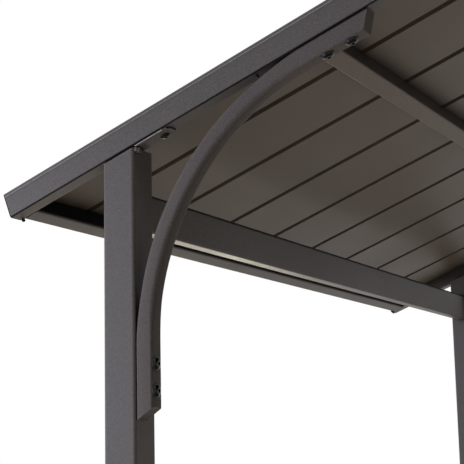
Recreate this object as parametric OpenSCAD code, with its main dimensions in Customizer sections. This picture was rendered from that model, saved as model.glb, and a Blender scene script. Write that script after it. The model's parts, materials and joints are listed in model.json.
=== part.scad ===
// Metal gazebo: an open frame of powder-coated steel tube under a gable roof of ribbed sheet.
// X runs across the gables, Y along the ridge and Z up, all in millimetres.
// The origin is on the ground, under the middle of the roof.

/* [Plan] */
// Clear width between the left and the right posts
clear_w = 1880; // [1500:10:2400]
// Length of the roof along the ridge, over the front and rear rakes
roof_len = 1794; // [1300:2:2400]
// Height of the rakes' underside at the inner faces of the posts
head_h = 2000; // [1800:10:2300]
// Slope of the roof, in degrees: a rise of 44 over a run of 117
slope = 20.6097; // [14:0.0001:28]

/* [Posts] */
// Width of a square post
post_w = 60; // [50:1:80]
// Wall of a post
post_wall = 1.5; // [1.2:0.1:3]
// Corner radius of a post
post_r = 5; // [3.5:0.5:8]

/* [Feet] */
// Side of a square foot plate
foot_w = 120; // [115:1:160]
// Thickness of a foot plate
foot_t = 5; // [4:0.5:10]
// Corner radius of a foot plate
foot_r = 10; // [4:1:16]
// Distance between the anchor holes of a foot plate
anchor_pitch = 90; // [88:1:100]
// Diameter of an anchor hole
anchor_d = 11; // [8:0.5:14]

/* [Rakes] */
// Height of a rake, square to the slope
rake_h = 46; // [45:1:60]
// Depth of a rake along the ridge
rake_d = 32; // [28:1:40]
// Wall of a rake
rake_wall = 1.5; // [1.2:0.1:2.5]
// Edge radius of a rake
rake_r = 4; // [3:0.5:6]
// Length of a rake below the outer face of its post, along the slope
rake_tail = 201; // [150:1:260]
// Thickness of the plug that closes a rake's low end
plug_t = 2; // [1:0.5:4]

/* [Head plates] */
// Thickness of the plate between a post and its rake
head_t = 3; // [2:0.5:5]
// Width of a head plate
head_w = 24; // [18:1:30]
// Reach of a head plate past its post, up the slope
head_reach = 68; // [50:1:90]
// Distance of a head plate behind the front of its rake
head_setback = 9; // [4:1:12]
// Corner radius of a head plate's free end
head_r = 3; // [1:0.5:6]

/* [Braces] */
// Outer radius of a brace's bend
brace_bend = 474; // [400:2:540]
// Distance from the corner of post and rake to either tip of a brace
brace_reach = 447; // [420:1:500]
// Width of a brace in the plane of the gable
brace_w = 30; // [24:1:36]
// Depth of a brace along the ridge
brace_d = 28; // [24:1:28]
// Wall of a brace
brace_wall = 1.5; // [1.2:0.1:2.5]
// Edge radius of a brace
brace_r = 4; // [3:0.5:6]
// Angle of the slanting cut at either tip of a brace
brace_cut = 34; // [0:1:45]
// Thickness of the plug that closes a brace's tip
brace_plug_t = 3; // [2:0.5:6]

/* [Eave beams] */
// Width of an eave beam across the posts
beam_w = 26; // [20:1:40]
// Height of an eave beam
beam_h = 62; // [50:1:80]
// Wall of an eave beam
beam_wall = 1.5; // [1.2:0.1:2.5]
// Edge radius of an eave beam
beam_r = 3; // [3:0.5:5]
// Depth of an eave beam's top below the head height
beam_drop = 71; // [60:1:120]

/* [Roof rails] */
// Height of the roof sheets above the underside of the rakes
roof_lift = 30; // [24:1:31]
// Width of an eave rail along the slope
eave_w = 30; // [24:1:40]
// Distance of an eave rail above the low end of the rakes
eave_setback = 6; // [2:1:20]
// Width of a purlin along the slope
purlin_w = 34; // [28:1:45]
// Depth of a purlin below the underside of the rakes
purlin_drop = 4; // [2:1:14]
// Distance of a purlin's middle from the posts' inner faces, up the slope
purlin_at = 345; // [320:1:420]
// Wall of the eave rails, purlins and ridge beam
rail_wall = 1.5; // [1.2:0.1:2.5]
// Edge radius of the eave rails, purlins and ridge beam
rail_r = 3; // [3:0.5:5]
// Width of the ridge beam
ridge_w = 40; // [30:1:60]
// Height of the ridge beam
ridge_h = 44; // [36:1:60]

/* [Roof sheets] */
// Number of sheets along each side of the roof
pan_count = 9; // [6:1:12]
// Thickness of the roof sheets
sheet_t = 1; // [0.8:0.1:1.5]
// Height of a sheet's turned-up edges above its underside
pan_h = 13; // [9:1:14]
// Width of the gap between two sheets
slot_w = 17; // [10:1:24]
// Clearance between a sheet's edge and the rib that caps it
rib_gap = 0.5; // [0.3:0.1:1]
// Distance of the sheets and ribs from the ridge line
ridge_gap = 5; // [4:1:15]
// Length of either side of the ridge cap, along the slope
cap_len = 95; // [70:1:140]
// Depth of the ridge cap's turned-down edges
cap_lip = 7; // [3:1:10]

/* [Hidden] */
$fn = 48;

frame_colour = "#55545a";
sheet_colour = "#5f5750";
plug_colour = "#1c1b1c";

// Places in plan
post_x = -clear_w / 2 - post_w;
front_y = -roof_len / 2;
bay_y = front_y + rake_d;
bay_len = roof_len - 2 * rake_d;
beam_len = roof_len - 2 * post_w;

// Places along the slope, from the inner face of a post, where up is towards the ridge
post_run = post_w / cos(slope);
rake_low = -post_run - rake_tail;
eave_low = rake_low - plug_t + eave_setback;
ridge_run = clear_w / 2 / cos(slope);
pan_high = (clear_w / 2 + roof_lift * sin(slope) - ridge_gap) / cos(slope);

// Heights of the ridge pieces over the ground
ridge_z = head_h + clear_w / 2 * tan(slope);
ridge_beam_z = ridge_z + roof_lift / cos(slope) - ridge_w / 2 * tan(slope) - ridge_h;
rib_top = roof_lift + pan_h + sheet_t;
cap_z = ridge_z + rib_top / cos(slope);

// Bend of a brace: it leaves the post and the rake at the same distance from their corner
brace_turn = 90 - slope;
brace_straight = brace_bend * tan(brace_turn / 2);
brace_tip = brace_reach - brace_straight;
// Its back is flush with the back of the rake
brace_setback = rake_d - brace_d;

// Roof sheets
pan_pitch = roof_len / pan_count;

// A length longer than the whole gazebo, for cutting
beyond = 2 * (clear_w + roof_len + head_h);

// Outline of a rectangle with round corners, with one corner at the origin
module rounded(w, h, r) {
    translate([r, 0]) square([w - 2 * r, h]);
    translate([0, r]) square([w, h - 2 * r]);
    for (x = [r, w - r], y = [r, h - r]) translate([x, y]) circle(r);
}

// Inside of a tube's outline
module bore(w, h, r, wall) {
    translate([wall, wall]) rounded(w - 2 * wall, h - 2 * wall, r - wall);
}

// Outline of a tube
module tube(w, h, r, wall) {
    difference() {
        rounded(w, h, r);
        bore(w, h, r, wall);
    }
}

// Extrude an outline along X: its width runs along Y and its height along Z
module along_x(length) {
    rotate([90, 0, 90]) linear_extrude(length) children();
}

// Extrude an outline along Y: its width runs along X and its height along Z
module along_y(length) {
    translate([0, length, 0]) rotate([90, 0, 0]) linear_extrude(length) children();
}

// Move the front left corner's piece to the corner named by two flags
module corner(right, rear) {
    mirror([right, 0, 0]) mirror([0, rear, 0]) children();
}

// Axes of the left slope: X up the slope from the post's inner face, Z off the rakes' underside
module on_slope() {
    translate([-clear_w / 2, 0, head_h]) rotate([0, -slope, 0]) children();
}

// Square tube with its top cut along the slope, under the head plate
module post() {
    color(frame_colour) difference() {
        translate([post_x, front_y, foot_t]) linear_extrude(head_h) tube(post_w, post_w, post_r, post_wall);
        on_slope() translate([-beyond / 2, -beyond / 2, -head_t]) cube(beyond);
    }
}

// Square plate under a post, with four anchor holes
module foot_plate() {
    color(frame_colour) translate([post_x + post_w / 2, front_y + post_w / 2, 0]) linear_extrude(foot_t)
        difference() {
            translate([-foot_w / 2, -foot_w / 2]) rounded(foot_w, foot_w, foot_r);
            for (x = [-1, 1], y = [-1, 1])
                translate([x * anchor_pitch / 2, y * anchor_pitch / 2]) circle(d = anchor_d);
        }
}

// Plate on the top of a post that runs on up the slope under the rake
module head_plate() {
    length = post_run + head_reach;
    color(frame_colour) on_slope() translate([-post_run, front_y + head_setback, -head_t])
        linear_extrude(head_t) {
            rounded(length, head_w, head_r);
            square([length / 2, head_w]);
        }
}

// Sloping tube along the edge of a gable, cut upright at the ridge
module rake() {
    color(frame_colour) difference() {
        on_slope() translate([rake_low, front_y, 0])
            along_x(ridge_run - rake_low + rake_h) tube(rake_d, rake_h, rake_r, rake_wall);
        translate([0, -beyond / 2, -beyond / 2]) cube(beyond);
    }
}

// Plug on the low end of a rake
module rake_plug() {
    color(plug_colour) on_slope() translate([rake_low - plug_t, front_y, 0])
        along_x(plug_t) rounded(rake_d, rake_h, rake_r);
}

// Axes of a brace's bend: it turns about Z, from its end at the post on X to its end at the rake
module at_bend() {
    translate([brace_bend, 0, -brace_straight]) rotate([90, 0, 180]) children();
}

// Straight end of a brace along Y from the bend.
// The outline that is carried has its width towards the bend's centre and its height along Z.
module brace_end() {
    translate([brace_bend, 0, 0]) rotate([90, 0, 180]) linear_extrude(brace_tip) children();
}

// Both straight ends of a brace, along the post and along the rake
module brace_ends() {
    translate([0, -brace_tip, 0]) brace_end() children();
    rotate([0, 0, brace_turn]) brace_end() children();
}

// Bend of a brace: part of a quarter turn, cut off where the straight end along the rake starts
module brace_arc() {
    difference() {
        rotate_extrude(angle = 90, $fn = 180) translate([brace_bend, 0]) mirror([1, 0]) children();
        rotate([0, 0, brace_turn]) translate([-beyond / 2, 0, -beyond / 2]) cube(beyond);
    }
}

// Everything past the slanting cut at a brace's lower tip, moved up by a distance
module below_cut(lift) {
    translate([0, 0, lift - brace_reach]) rotate([0, -brace_cut, 0])
        translate([-beyond / 2, -beyond / 2, -beyond]) cube(beyond);
}

// The same at a brace's upper tip
module above_cut(lift) {
    rotate([0, brace_turn, 0]) mirror([0, 0, 1]) below_cut(lift);
}

// Corner of post and rake where a brace fits, behind the front of the post
module brace_place() {
    translate([-clear_w / 2, front_y + brace_setback, head_h]) children();
}

// Tube bent in one arc between post and rake, with slanting tips
module brace() {
    color(frame_colour) brace_place() difference() {
        at_bend() {
            brace_ends() tube(brace_w, brace_d, brace_r, brace_wall);
            brace_arc() tube(brace_w, brace_d, brace_r, brace_wall);
        }
        below_cut(0);
        above_cut(0);
    }
}

// Plugs in both tips of a brace
module brace_plug_pair() {
    color(plug_colour) brace_place() difference() {
        intersection() {
            at_bend() brace_ends() bore(brace_w, brace_d, brace_r, brace_wall);
            union() {
                below_cut(brace_plug_t);
                above_cut(brace_plug_t);
            }
        }
        below_cut(0);
        above_cut(0);
    }
}

// Tube between the front and rear posts, centred on them
module eave_beam() {
    color(frame_colour) translate([post_x + (post_w - beam_w) / 2, front_y + post_w, head_h - beam_drop - beam_h])
        along_y(beam_len) tube(beam_w, beam_h, beam_r, beam_wall);
}

// Tube between the rakes under the low ends of the roof sheets
module eave_rail() {
    color(frame_colour) on_slope() translate([eave_low, bay_y, 0])
        along_y(bay_len) tube(eave_w, roof_lift, rail_r, rail_wall);
}

// Tube between the rakes under the middle of the roof sheets
module purlin() {
    color(frame_colour) on_slope() translate([purlin_at - purlin_w / 2, bay_y, -purlin_drop])
        along_y(bay_len) tube(purlin_w, roof_lift + purlin_drop, rail_r, rail_wall);
}

// Tube between the rakes under the ridge
module ridge_tube() {
    color(frame_colour) translate([-ridge_w / 2, bay_y, ridge_beam_z])
        along_y(bay_len) tube(ridge_w, ridge_h, rail_r, rail_wall);
}

// Row of flat sheets with turned-up edges, from the eave rail to the ridge
module roof_sheets() {
    for (i = [0 : pan_count - 1]) {
        y0 = i == 0 ? bay_y : front_y + i * pan_pitch + slot_w / 2;
        y1 = i == pan_count - 1 ? bay_y + bay_len : front_y + (i + 1) * pan_pitch - slot_w / 2;
        color(sheet_colour) on_slope() translate([eave_low, y0, roof_lift]) along_x(pan_high - eave_low)
            difference() {
                square([y1 - y0, pan_h]);
                translate([sheet_t, sheet_t]) square([y1 - y0 - 2 * sheet_t, pan_h]);
            }
    }
}

// Row of ribs, each capping the turned-up edges on both sides of a gap
module roof_ribs() {
    inner_w = slot_w + 2 * (sheet_t + rib_gap);
    rib_low = sheet_t + rib_gap;
    for (i = [1 : pan_count - 1])
        color(sheet_colour) on_slope()
            translate([eave_low, front_y + i * pan_pitch - inner_w / 2 - sheet_t, roof_lift + rib_low])
                along_x(pan_high - eave_low) difference() {
                    square([inner_w + 2 * sheet_t, pan_h + sheet_t - rib_low]);
                    translate([sheet_t, -sheet_t]) square([inner_w, pan_h + sheet_t - rib_low]);
                }
}

// Right half of the ridge cap's outline: a sheet down the slope with its edge turned down
module cap_half() {
    difference() {
        rotate(-slope) {
            translate([-cap_len, 0]) square([2 * cap_len, sheet_t]);
            translate([cap_len - sheet_t, -cap_lip]) square([sheet_t, cap_lip + sheet_t]);
        }
        translate([-beyond, -beyond / 2]) square(beyond);
    }
}

// Folded sheet over the ridge, on top of the ribs
module ridge_fold() {
    color(sheet_colour) translate([0, bay_y, cap_z]) along_y(bay_len) {
        cap_half();
        mirror([1, 0]) cap_half();
    }
}

module front_left_post() { corner(0, 0) post(); }
module front_right_post() { corner(1, 0) post(); }
module rear_left_post() { corner(0, 1) post(); }
module rear_right_post() { corner(1, 1) post(); }
module front_left_foot_plate() { corner(0, 0) foot_plate(); }
module front_right_foot_plate() { corner(1, 0) foot_plate(); }
module rear_left_foot_plate() { corner(0, 1) foot_plate(); }
module rear_right_foot_plate() { corner(1, 1) foot_plate(); }
module front_left_head_plate() { corner(0, 0) head_plate(); }
module front_right_head_plate() { corner(1, 0) head_plate(); }
module rear_left_head_plate() { corner(0, 1) head_plate(); }
module rear_right_head_plate() { corner(1, 1) head_plate(); }
module front_left_brace() { corner(0, 0) brace(); }
module front_right_brace() { corner(1, 0) brace(); }
module rear_left_brace() { corner(0, 1) brace(); }
module rear_right_brace() { corner(1, 1) brace(); }
module front_left_rake() { corner(0, 0) rake(); }
module front_right_rake() { corner(1, 0) rake(); }
module rear_left_rake() { corner(0, 1) rake(); }
module rear_right_rake() { corner(1, 1) rake(); }
module left_eave_beam() { corner(0, 0) eave_beam(); }
module right_eave_beam() { corner(1, 0) eave_beam(); }
module left_eave_rail() { corner(0, 0) eave_rail(); }
module right_eave_rail() { corner(1, 0) eave_rail(); }
module left_purlin() { corner(0, 0) purlin(); }
module right_purlin() { corner(1, 0) purlin(); }
module ridge_beam() { ridge_tube(); }
module left_roof_sheets() { corner(0, 0) roof_sheets(); }
module right_roof_sheets() { corner(1, 0) roof_sheets(); }
module left_roof_ribs() { corner(0, 0) roof_ribs(); }
module right_roof_ribs() { corner(1, 0) roof_ribs(); }
module ridge_cap() { ridge_fold(); }
module rake_plugs() { for (right = [0, 1], rear = [0, 1]) corner(right, rear) rake_plug(); }
module brace_plugs() { for (right = [0, 1], rear = [0, 1]) corner(right, rear) brace_plug_pair(); }

front_left_post();
front_right_post();
rear_left_post();
rear_right_post();
front_left_foot_plate();
front_right_foot_plate();
rear_left_foot_plate();
rear_right_foot_plate();
front_left_head_plate();
front_right_head_plate();
rear_left_head_plate();
rear_right_head_plate();
front_left_brace();
front_right_brace();
rear_left_brace();
rear_right_brace();
front_left_rake();
front_right_rake();
rear_left_rake();
rear_right_rake();
left_eave_beam();
right_eave_beam();
left_eave_rail();
right_eave_rail();
left_purlin();
right_purlin();
ridge_beam();
left_roof_sheets();
right_roof_sheets();
left_roof_ribs();
right_roof_ribs();
ridge_cap();
rake_plugs();
brace_plugs();
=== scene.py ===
"""Metal gazebo: coats, fasteners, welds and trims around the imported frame."""

import json
from math import cos, pi, radians, sin

import bmesh
import bpy
import numpy as np
from bpy.props import FloatProperty, FloatVectorProperty, PointerProperty
from bpy.types import Operator, Panel, PropertyGroup
from mathutils import Matrix, Vector


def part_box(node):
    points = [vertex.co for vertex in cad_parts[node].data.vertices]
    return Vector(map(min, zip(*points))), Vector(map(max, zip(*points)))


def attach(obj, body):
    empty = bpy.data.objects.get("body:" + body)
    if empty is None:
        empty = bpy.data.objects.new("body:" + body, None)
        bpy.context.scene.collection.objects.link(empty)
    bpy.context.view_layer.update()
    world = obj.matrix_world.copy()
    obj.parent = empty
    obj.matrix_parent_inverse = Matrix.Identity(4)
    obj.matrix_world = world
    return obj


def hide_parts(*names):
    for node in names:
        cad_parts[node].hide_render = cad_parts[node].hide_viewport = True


bl_info = {
    "name": "Metal gazebo",
    "version": (1, 0, 0),
    "blender": (4, 5, 0),
    "location": "3D View > Sidebar > Gazebo",
    "description": "Dresses the frame of a metal gazebo with coats, bolts, screws, welds and trims",
    "category": "Object",
}

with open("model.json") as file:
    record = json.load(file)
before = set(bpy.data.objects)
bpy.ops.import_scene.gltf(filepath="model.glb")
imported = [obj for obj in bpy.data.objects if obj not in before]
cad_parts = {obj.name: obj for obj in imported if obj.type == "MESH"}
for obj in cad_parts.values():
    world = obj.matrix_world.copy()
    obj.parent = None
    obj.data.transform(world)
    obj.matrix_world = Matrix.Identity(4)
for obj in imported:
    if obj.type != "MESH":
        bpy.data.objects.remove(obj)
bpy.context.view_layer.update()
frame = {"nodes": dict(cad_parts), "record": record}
NODES = frame["nodes"]

# Places of the frame, in metres, read from its boxes
POST_LOW, POST_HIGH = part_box("front_left_post")
BEAM_LOW, BEAM_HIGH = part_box("left_eave_beam")
FOOT_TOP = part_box("front_left_foot_plate")[1].z
HALF_CLEAR = -POST_HIGH.x
HALF_DEPTH = -POST_LOW.y
POST_WIDTH = POST_HIGH.x - POST_LOW.x

# Corner radius of a post
POST_CORNER = 0.005

# Slope of the roof, and the height of the rakes' underside at the posts' inner faces
SLOPE = radians(20.6097)
HEAD_HEIGHT = 2.0

# Skin of a brace: section, place behind the post's front, wall, edge, bend, reach and slant of its tips
BRACE_WIDTH = 0.030
BRACE_DEPTH = 0.030
BRACE_SETBACK = 0.002
BRACE_WALL = 0.0015
BRACE_EDGE = 0.004
BRACE_BEND = 0.474
BRACE_REACH = 0.447
BRACE_CUT = radians(34.0)

# Rows of points in a brace's bend, and the share of it at either end over which its edges grow rounder
BEND_ROWS = 61
BEND_EASE = 0.16

# How far the skin stands before the front of the brace's solid, and the bolts behind the post's front
SKIN_FRONT = 0.002
BOLT_SETBACK = 0.0145

# Rakes, plates and roof: runs go up the slope from the posts' inner faces, tops off the rakes' underside
RAKE_DEPTH = 0.032
RAKE_LOW = -0.2651
HEAD_PLATE_THICKNESS = 0.003
EAVE_LOW = -0.2611
EAVE_RAIL_INSIDE = -0.2311
PURLIN_AT = 0.345
RIB_TOP = 0.044
CAP_TOP = 0.045
SHEET_COUNT = 9

# Screws in head plates and rakes: run and distance behind the post's front, and how small a rake's screw is
PLATE_SCREW = (0.049, 0.024)
RAKE_SCREW = (0.239, 0.015)
RAKE_SCREW_SHARE = 0.3

# Roof screws: how far up from the eave and down from the ridge
EAVE_SCREW_IN = 0.018
CAP_SCREW_IN = 0.078

# Runs of the head plates' lips and of the bright beads on them, which are painted highlights, and a plug
# lip's place behind the post's front
PLATE_LIP_RUN = (0.0005, 0.0640)
PLATE_HIGHLIGHT_BEAD_RUN = (0.0005, 0.0560)
PLUG_LIP_BEHIND = (0.0275, 0.0318)

# Beads on the rakes: distance behind the post's front, height off the rakes' underside and radius
# The black seal bead is painted shade along the rake's lower front edge
RAKE_SHADE_LINE = (0.0013, 0.0013, 0.0013)
# The crease is a thin light-grey bead, a painted highlight line on the rake's face
RAKE_CREASE_HIGHLIGHT = (-0.0008, 0.0384, 0.0009)
# The plate's bead is bright: a painted highlight along the plate's lit edge
PLATE_HIGHLIGHT_BEAD = (0.0036, -0.0013, 0.0011)

# Black bead on an eave beam, a line of painted shade: distance out from its inner face, height over its top
# and radius
BEAM_SHADE_LINE = (0.0014, 0.0004, 0.0016)

# Points nearer than this are merged, and edges flatter than this are smooth
MERGE_DISTANCE = 1e-6
SMOOTH_ANGLE = radians(38)

# Which coat a slot of the record gets, and the nodes that have a coat of their own
SLOT_COATS = {"frame": "powder_coat", "roof_sheet": "coil_coat", "plug": "plug_plastic"}
NODE_COATS = {
    "brace_plugs": "tip_plastic", "left_roof_ribs": "rib_coat", "right_roof_ribs": "rib_coat",
    "left_purlin": "purlin_coat", "right_purlin": "purlin_coat"}

# What a coat has unless its own row says otherwise, by the names of the groups' sockets and the shader's
# own; Reach and Amount darken the corners as painted shade
PLAIN_COAT = {
    "Grain Scale": 430.0, "Speck": 1.0, "Mottle": 0.2, "Roughness": 0.43,
    # Radius and Lift lighten the edges, as worn coat and as painted highlight
    "Radius": 0.002, "Lift": 0.5, "Reach": 0.10, "Amount": 0.85, "Unshaded Seams": 0.0,
    "Specular": 0.16, "Metallic": 0.0, "Bump": 0.3}

# What the coats of the sheets, of the plastics and of the welds share
SHEET_COAT = {"Speck": 0.3, "Roughness": 0.45, "Bump": 0.12}
PLASTIC_COAT = {"Grain Scale": 1200.0, "Speck": 0.3}
ROUGH_COAT = {"Grain Scale": 400.0, "Mottle": 0.4, "Specular": 0.5}

# Colour of each coat among the settings, and what sets it apart
COATS = {
    # Reach and Amount paint shade into corners: thin dark lines at the frame's contacts, dark bands on the
    # roof sheets by the rails and purlins, and a wide dark fringe on the purlins
    "powder_coat": ("frame_coat", {"Reach": 0.05}),
    "coil_coat": ("roof_coat", {**SHEET_COAT, "Amount": 0.8, "Unshaded Seams": 0.8}),
    "rib_coat": ("roof_coat", {**SHEET_COAT, "Amount": 0.0}),
    "brace_coat": ("brace_coat", {"Specular": 0.05}),
    # The purlins: lighter, browner colour as painted light, and wide painted shade near the roof
    "purlin_coat": ("purlin_coat", {"Specular": 0.10, "Reach": 0.20, "Amount": 0.95}),
    "plug_plastic": ("plug_plastic", {**PLASTIC_COAT, "Roughness": 0.6, "Specular": 0.1}),
    "tip_plastic": ("tip_plastic", {**PLASTIC_COAT, "Roughness": 0.55, "Specular": 0.2}),
    # The bolts' Lift of 32 makes their thin edge rims far lighter than the black: painted highlight, as well
    # as worn edges
    "bolt_black": ("bolt_black", {
        "Grain Scale": 900.0, "Speck": 0.2, "Roughness": 0.09, "Radius": 0.0008, "Lift": 32.0,
        "Specular": 0.22, "Bump": 0.05}),
    # The weld coat also colours the rakes' light creases, a painted highlight
    "weld_coat": ("weld", {**ROUGH_COAT, "Speck": 1.2, "Roughness": 0.34, "Bump": 0.5}),
    # The bright bead's coat: painted highlight
    "bead_coat": ("bead", {**ROUGH_COAT, "Speck": 0.8, "Roughness": 0.30, "Amount": 0.0}),
    "anchor_zinc": ("zinc", {
        "Grain Scale": 600.0, "Speck": 0.3, "Mottle": 0.4, "Roughness": 0.36,
        "Specular": 0.5, "Metallic": 1.0, "Bump": 0.1}),
}

# Height of the uneven skin of a coat
SKIN_HEIGHT = 0.0003

# Lamps: place, target, size, power and colour
LAMPS = {
    "top_lamp": ((0.0, 0.0, 7.0), (0.0, 0.0, 0.0), 6.0, 320.0, (1.0, 0.98, 0.95)),
    "key_lamp": ((-3.2, -2.7, 1.6), (-0.95, -0.8, 1.8), 2.0, 87.0, (0.80, 0.85, 1.0)),
    "low_lamp": ((-4.5, 4.5, 0.8), (-0.7, 0.2, 2.0), 2.4, 64.0, (1.0, 0.89, 0.66)),
}

# Dim fill from the world: colour and strength
FILL_COLOUR = (0.94, 0.96, 1.0, 1.0)
FILL_STRENGTH = 0.03

# Colour of the background
WHITE = (1.0, 1.0, 1.0, 1.0)

# Floor: radii of its rings, its level, and the distances between which it turns white to the camera
FLOOR_RINGS = (0.0, 2.0, 5.0, 12.0, 30.0)
FLOOR_LEVEL = -0.0005
FLOOR_CLEARS = (2.4, 5.6)

# Camera at the photograph's place, with its yaw, pitch and roll
CAMERA_PLACE = (0.1784, -2.6465, 1.4796)
CAMERA_ANGLES = (radians(-28.216), radians(10.187), radians(1.245))
CAMERA_LENS = 101.07

# Signs of the corners: left or right, front or rear
SIDES = (-1, 1)
CORNERS = ((-1, -1), (1, -1), (-1, 1), (1, 1))


class GazeboSizes(PropertyGroup):
    """Sizes of the small parts"""
    bolt_head: FloatProperty(
        name="Bolt head", description="Diameter of a dome-head bolt on the braces",
        default=0.0195, min=0.01, max=0.03, unit="LENGTH", precision=4)
    bolt_washer: FloatProperty(
        name="Bolt washer", description="Diameter of the washer under a dome-head bolt",
        default=0.0235, min=0.01, max=0.04, unit="LENGTH", precision=4)
    bolt_pitch: FloatProperty(
        name="Bolt pitch", description="Distance between the two bolts at either end of a brace",
        default=0.043, min=0.03, max=0.06, unit="LENGTH", precision=4)
    bolt_reach: FloatProperty(
        name="Bolt reach", description="Distance of the nearer bolt from the corner of post and rake",
        default=0.358, min=0.34, max=0.37, unit="LENGTH", precision=4)
    bend_edge: FloatProperty(
        name="Bend edge", description="Edge radius of a brace in its bend",
        default=0.009, min=0.004, max=0.013, unit="LENGTH", precision=4)
    screw_head: FloatProperty(
        name="Screw head", description="Diameter of a pan-head screw on the head plates",
        default=0.016, min=0.006, max=0.02, unit="LENGTH", precision=4)
    roof_screw: FloatProperty(
        name="Roof screw", description="Diameter of the sealing washer of a roof screw",
        default=0.014, min=0.008, max=0.02, unit="LENGTH", precision=4)
    anchor_pitch: FloatProperty(
        name="Anchor pitch", description="Distance between the anchors of a foot plate",
        default=0.090, min=0.06, max=0.12, unit="LENGTH", precision=4)
    anchor_nut: FloatProperty(
        name="Anchor nut", description="Width across the flats of an anchor's nut",
        default=0.017, min=0.01, max=0.024, unit="LENGTH", precision=4)
    weld_leg: FloatProperty(
        name="Weld leg", description="Leg of the weld between a post and its foot plate",
        default=0.0045, min=0.002, max=0.01, unit="LENGTH", precision=4)


class GazeboColours(PropertyGroup):
    """Colours of the coats"""
    frame_coat: FloatVectorProperty(
        name="Frame coat", description="Powder coat of the posts, plates, beams and rakes",
        default=(0.116, 0.104, 0.099), min=0.0, max=1.0, size=3, subtype="COLOR")
    brace_coat: FloatVectorProperty(
        name="Brace coat", description="Duller powder coat of the bent braces",
        default=(0.120, 0.105, 0.099), min=0.0, max=1.0, size=3, subtype="COLOR")
    # The purlins' coat is lighter and browner than the frame's as painted light, and darkens widely near the
    # roof as painted shade
    purlin_coat: FloatVectorProperty(
        name="Purlin coat", description="Browner powder coat of the purlins",
        default=(0.175, 0.147, 0.126), min=0.0, max=1.0, size=3, subtype="COLOR")
    roof_coat: FloatVectorProperty(
        name="Roof coat", description="Coil coat of the roof sheets, ribs and ridge cap",
        default=(0.139, 0.113, 0.092), min=0.0, max=1.0, size=3, subtype="COLOR")
    # Black of the plugs and lips, which also colours the rake, beam and eave strips of painted shade
    plug_plastic: FloatVectorProperty(
        name="Plug plastic", description="Black plugs, seals, lips and fillers",
        default=(0.005, 0.0046, 0.0045), min=0.0, max=1.0, size=3, subtype="COLOR")
    tip_plastic: FloatVectorProperty(
        name="Tip plastic", description="Plugs in the brace tips, moulded in the colour of the frame",
        default=(0.100, 0.088, 0.080), min=0.0, max=1.0, size=3, subtype="COLOR")
    bolt_black: FloatVectorProperty(
        name="Bolt black", description="Black coat of the bolts and screws",
        default=(0.004, 0.004, 0.004), min=0.0, max=1.0, size=3, subtype="COLOR")
    # The weld colour also paints the light creases on the rakes, as painted highlight
    weld: FloatVectorProperty(
        name="Weld", description="Thin coat over the welds and the creases",
        default=(0.19, 0.185, 0.18), min=0.0, max=1.0, size=3, subtype="COLOR")
    # Bright bead colour: painted highlight on the head plates' edges
    bead: FloatVectorProperty(
        name="Bead", description="Bright bead along the edge of the head plates",
        default=(0.36, 0.35, 0.33), min=0.0, max=1.0, size=3, subtype="COLOR")
    zinc: FloatVectorProperty(
        name="Zinc", description="Zinc plate of the ground anchors",
        default=(0.42, 0.43, 0.44), min=0.0, max=1.0, size=3, subtype="COLOR")
    floor: FloatVectorProperty(
        name="Floor", description="Pale floor under the gazebo",
        default=(0.86, 0.79, 0.70), min=0.0, max=1.0, size=3, subtype="COLOR")


def slope_points(side, run, lift, along):
    """Points on one slope of the roof.

    run is the way up the slope from the post's inner face and lift the height off the rakes' underside:
    x = half the clear width less run cos(slope) plus lift sin(slope), mirrored by side, and
    z = head height plus run sin(slope) plus lift cos(slope).
    """
    run, lift, along = np.broadcast_arrays(*(np.asarray(value, float) for value in (run, lift, along)))
    x = side * (HALF_CLEAR - run * cos(SLOPE) + lift * sin(SLOPE))
    z = HEAD_HEIGHT + run * sin(SLOPE) + lift * cos(SLOPE)
    return np.stack([x, along, z], axis=-1)


def slope_normal(side):
    """Unit vector square off one slope of the roof, upwards."""
    return np.array([side * sin(SLOPE), 0.0, cos(SLOPE)])


def ridge_run(lift):
    """Run at which a height off the rakes' underside meets the upright plane of the ridge."""
    return (HALF_CLEAR + lift * sin(SLOPE)) / cos(SLOPE)


def hexagon(angle):
    """Radius of a hexagon of unit inner radius: one over the cosine of the angle from the nearest flat."""
    folded = np.mod(angle + pi / 6, pi / 3) - pi / 6
    return 1.0 / np.cos(folded)


def turned(radius, height, hexed, count):
    """Turned shape: each row of the profile goes round once, as a circle or, by its share, as a hexagon."""
    angle = np.arange(count) * (2 * pi / count)
    share = np.asarray(hexed, float)[:, None]
    reach = np.asarray(radius, float)[:, None] * (1 - share + share * hexagon(angle)[None, :])
    level = np.repeat(np.asarray(height, float)[:, None], count, axis=1)
    return np.stack([reach * np.cos(angle), reach * np.sin(angle), level], axis=-1)


def circle(count):
    """Evenly spaced angles once round, without the start again."""
    return np.linspace(0.0, 2 * pi, count + 1)[:-1]


def bead_outline(first, second, radius, count=10):
    """Outline of a round bead: its centre plus the radius along evenly spaced angles."""
    angle = circle(count)
    return first + radius * np.cos(angle), second + radius * np.sin(angle)


def placed(shape, centres, normals, spins):
    """Copies of a shape, each with its height along a normal and turned about it by a spin."""
    centres = np.asarray(centres, float)
    normals = np.asarray(normals, float)
    spins = np.asarray(spins, float)
    upright = np.abs(normals[:, 2:3]) > 0.9
    guide = np.where(upright, np.array([[1.0, 0.0, 0.0]]), np.array([[0.0, 0.0, 1.0]]))
    first = np.cross(guide, normals)
    first /= np.linalg.norm(first, axis=1, keepdims=True)
    second = np.cross(normals, first)
    across = np.cos(spins)[:, None] * first + np.sin(spins)[:, None] * second
    up = np.cos(spins)[:, None] * second - np.sin(spins)[:, None] * first
    axes = np.stack([across, up, normals], axis=1)
    return centres[:, None, None, :] + np.einsum("uvk,nkd->nuvd", shape, axes)


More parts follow.
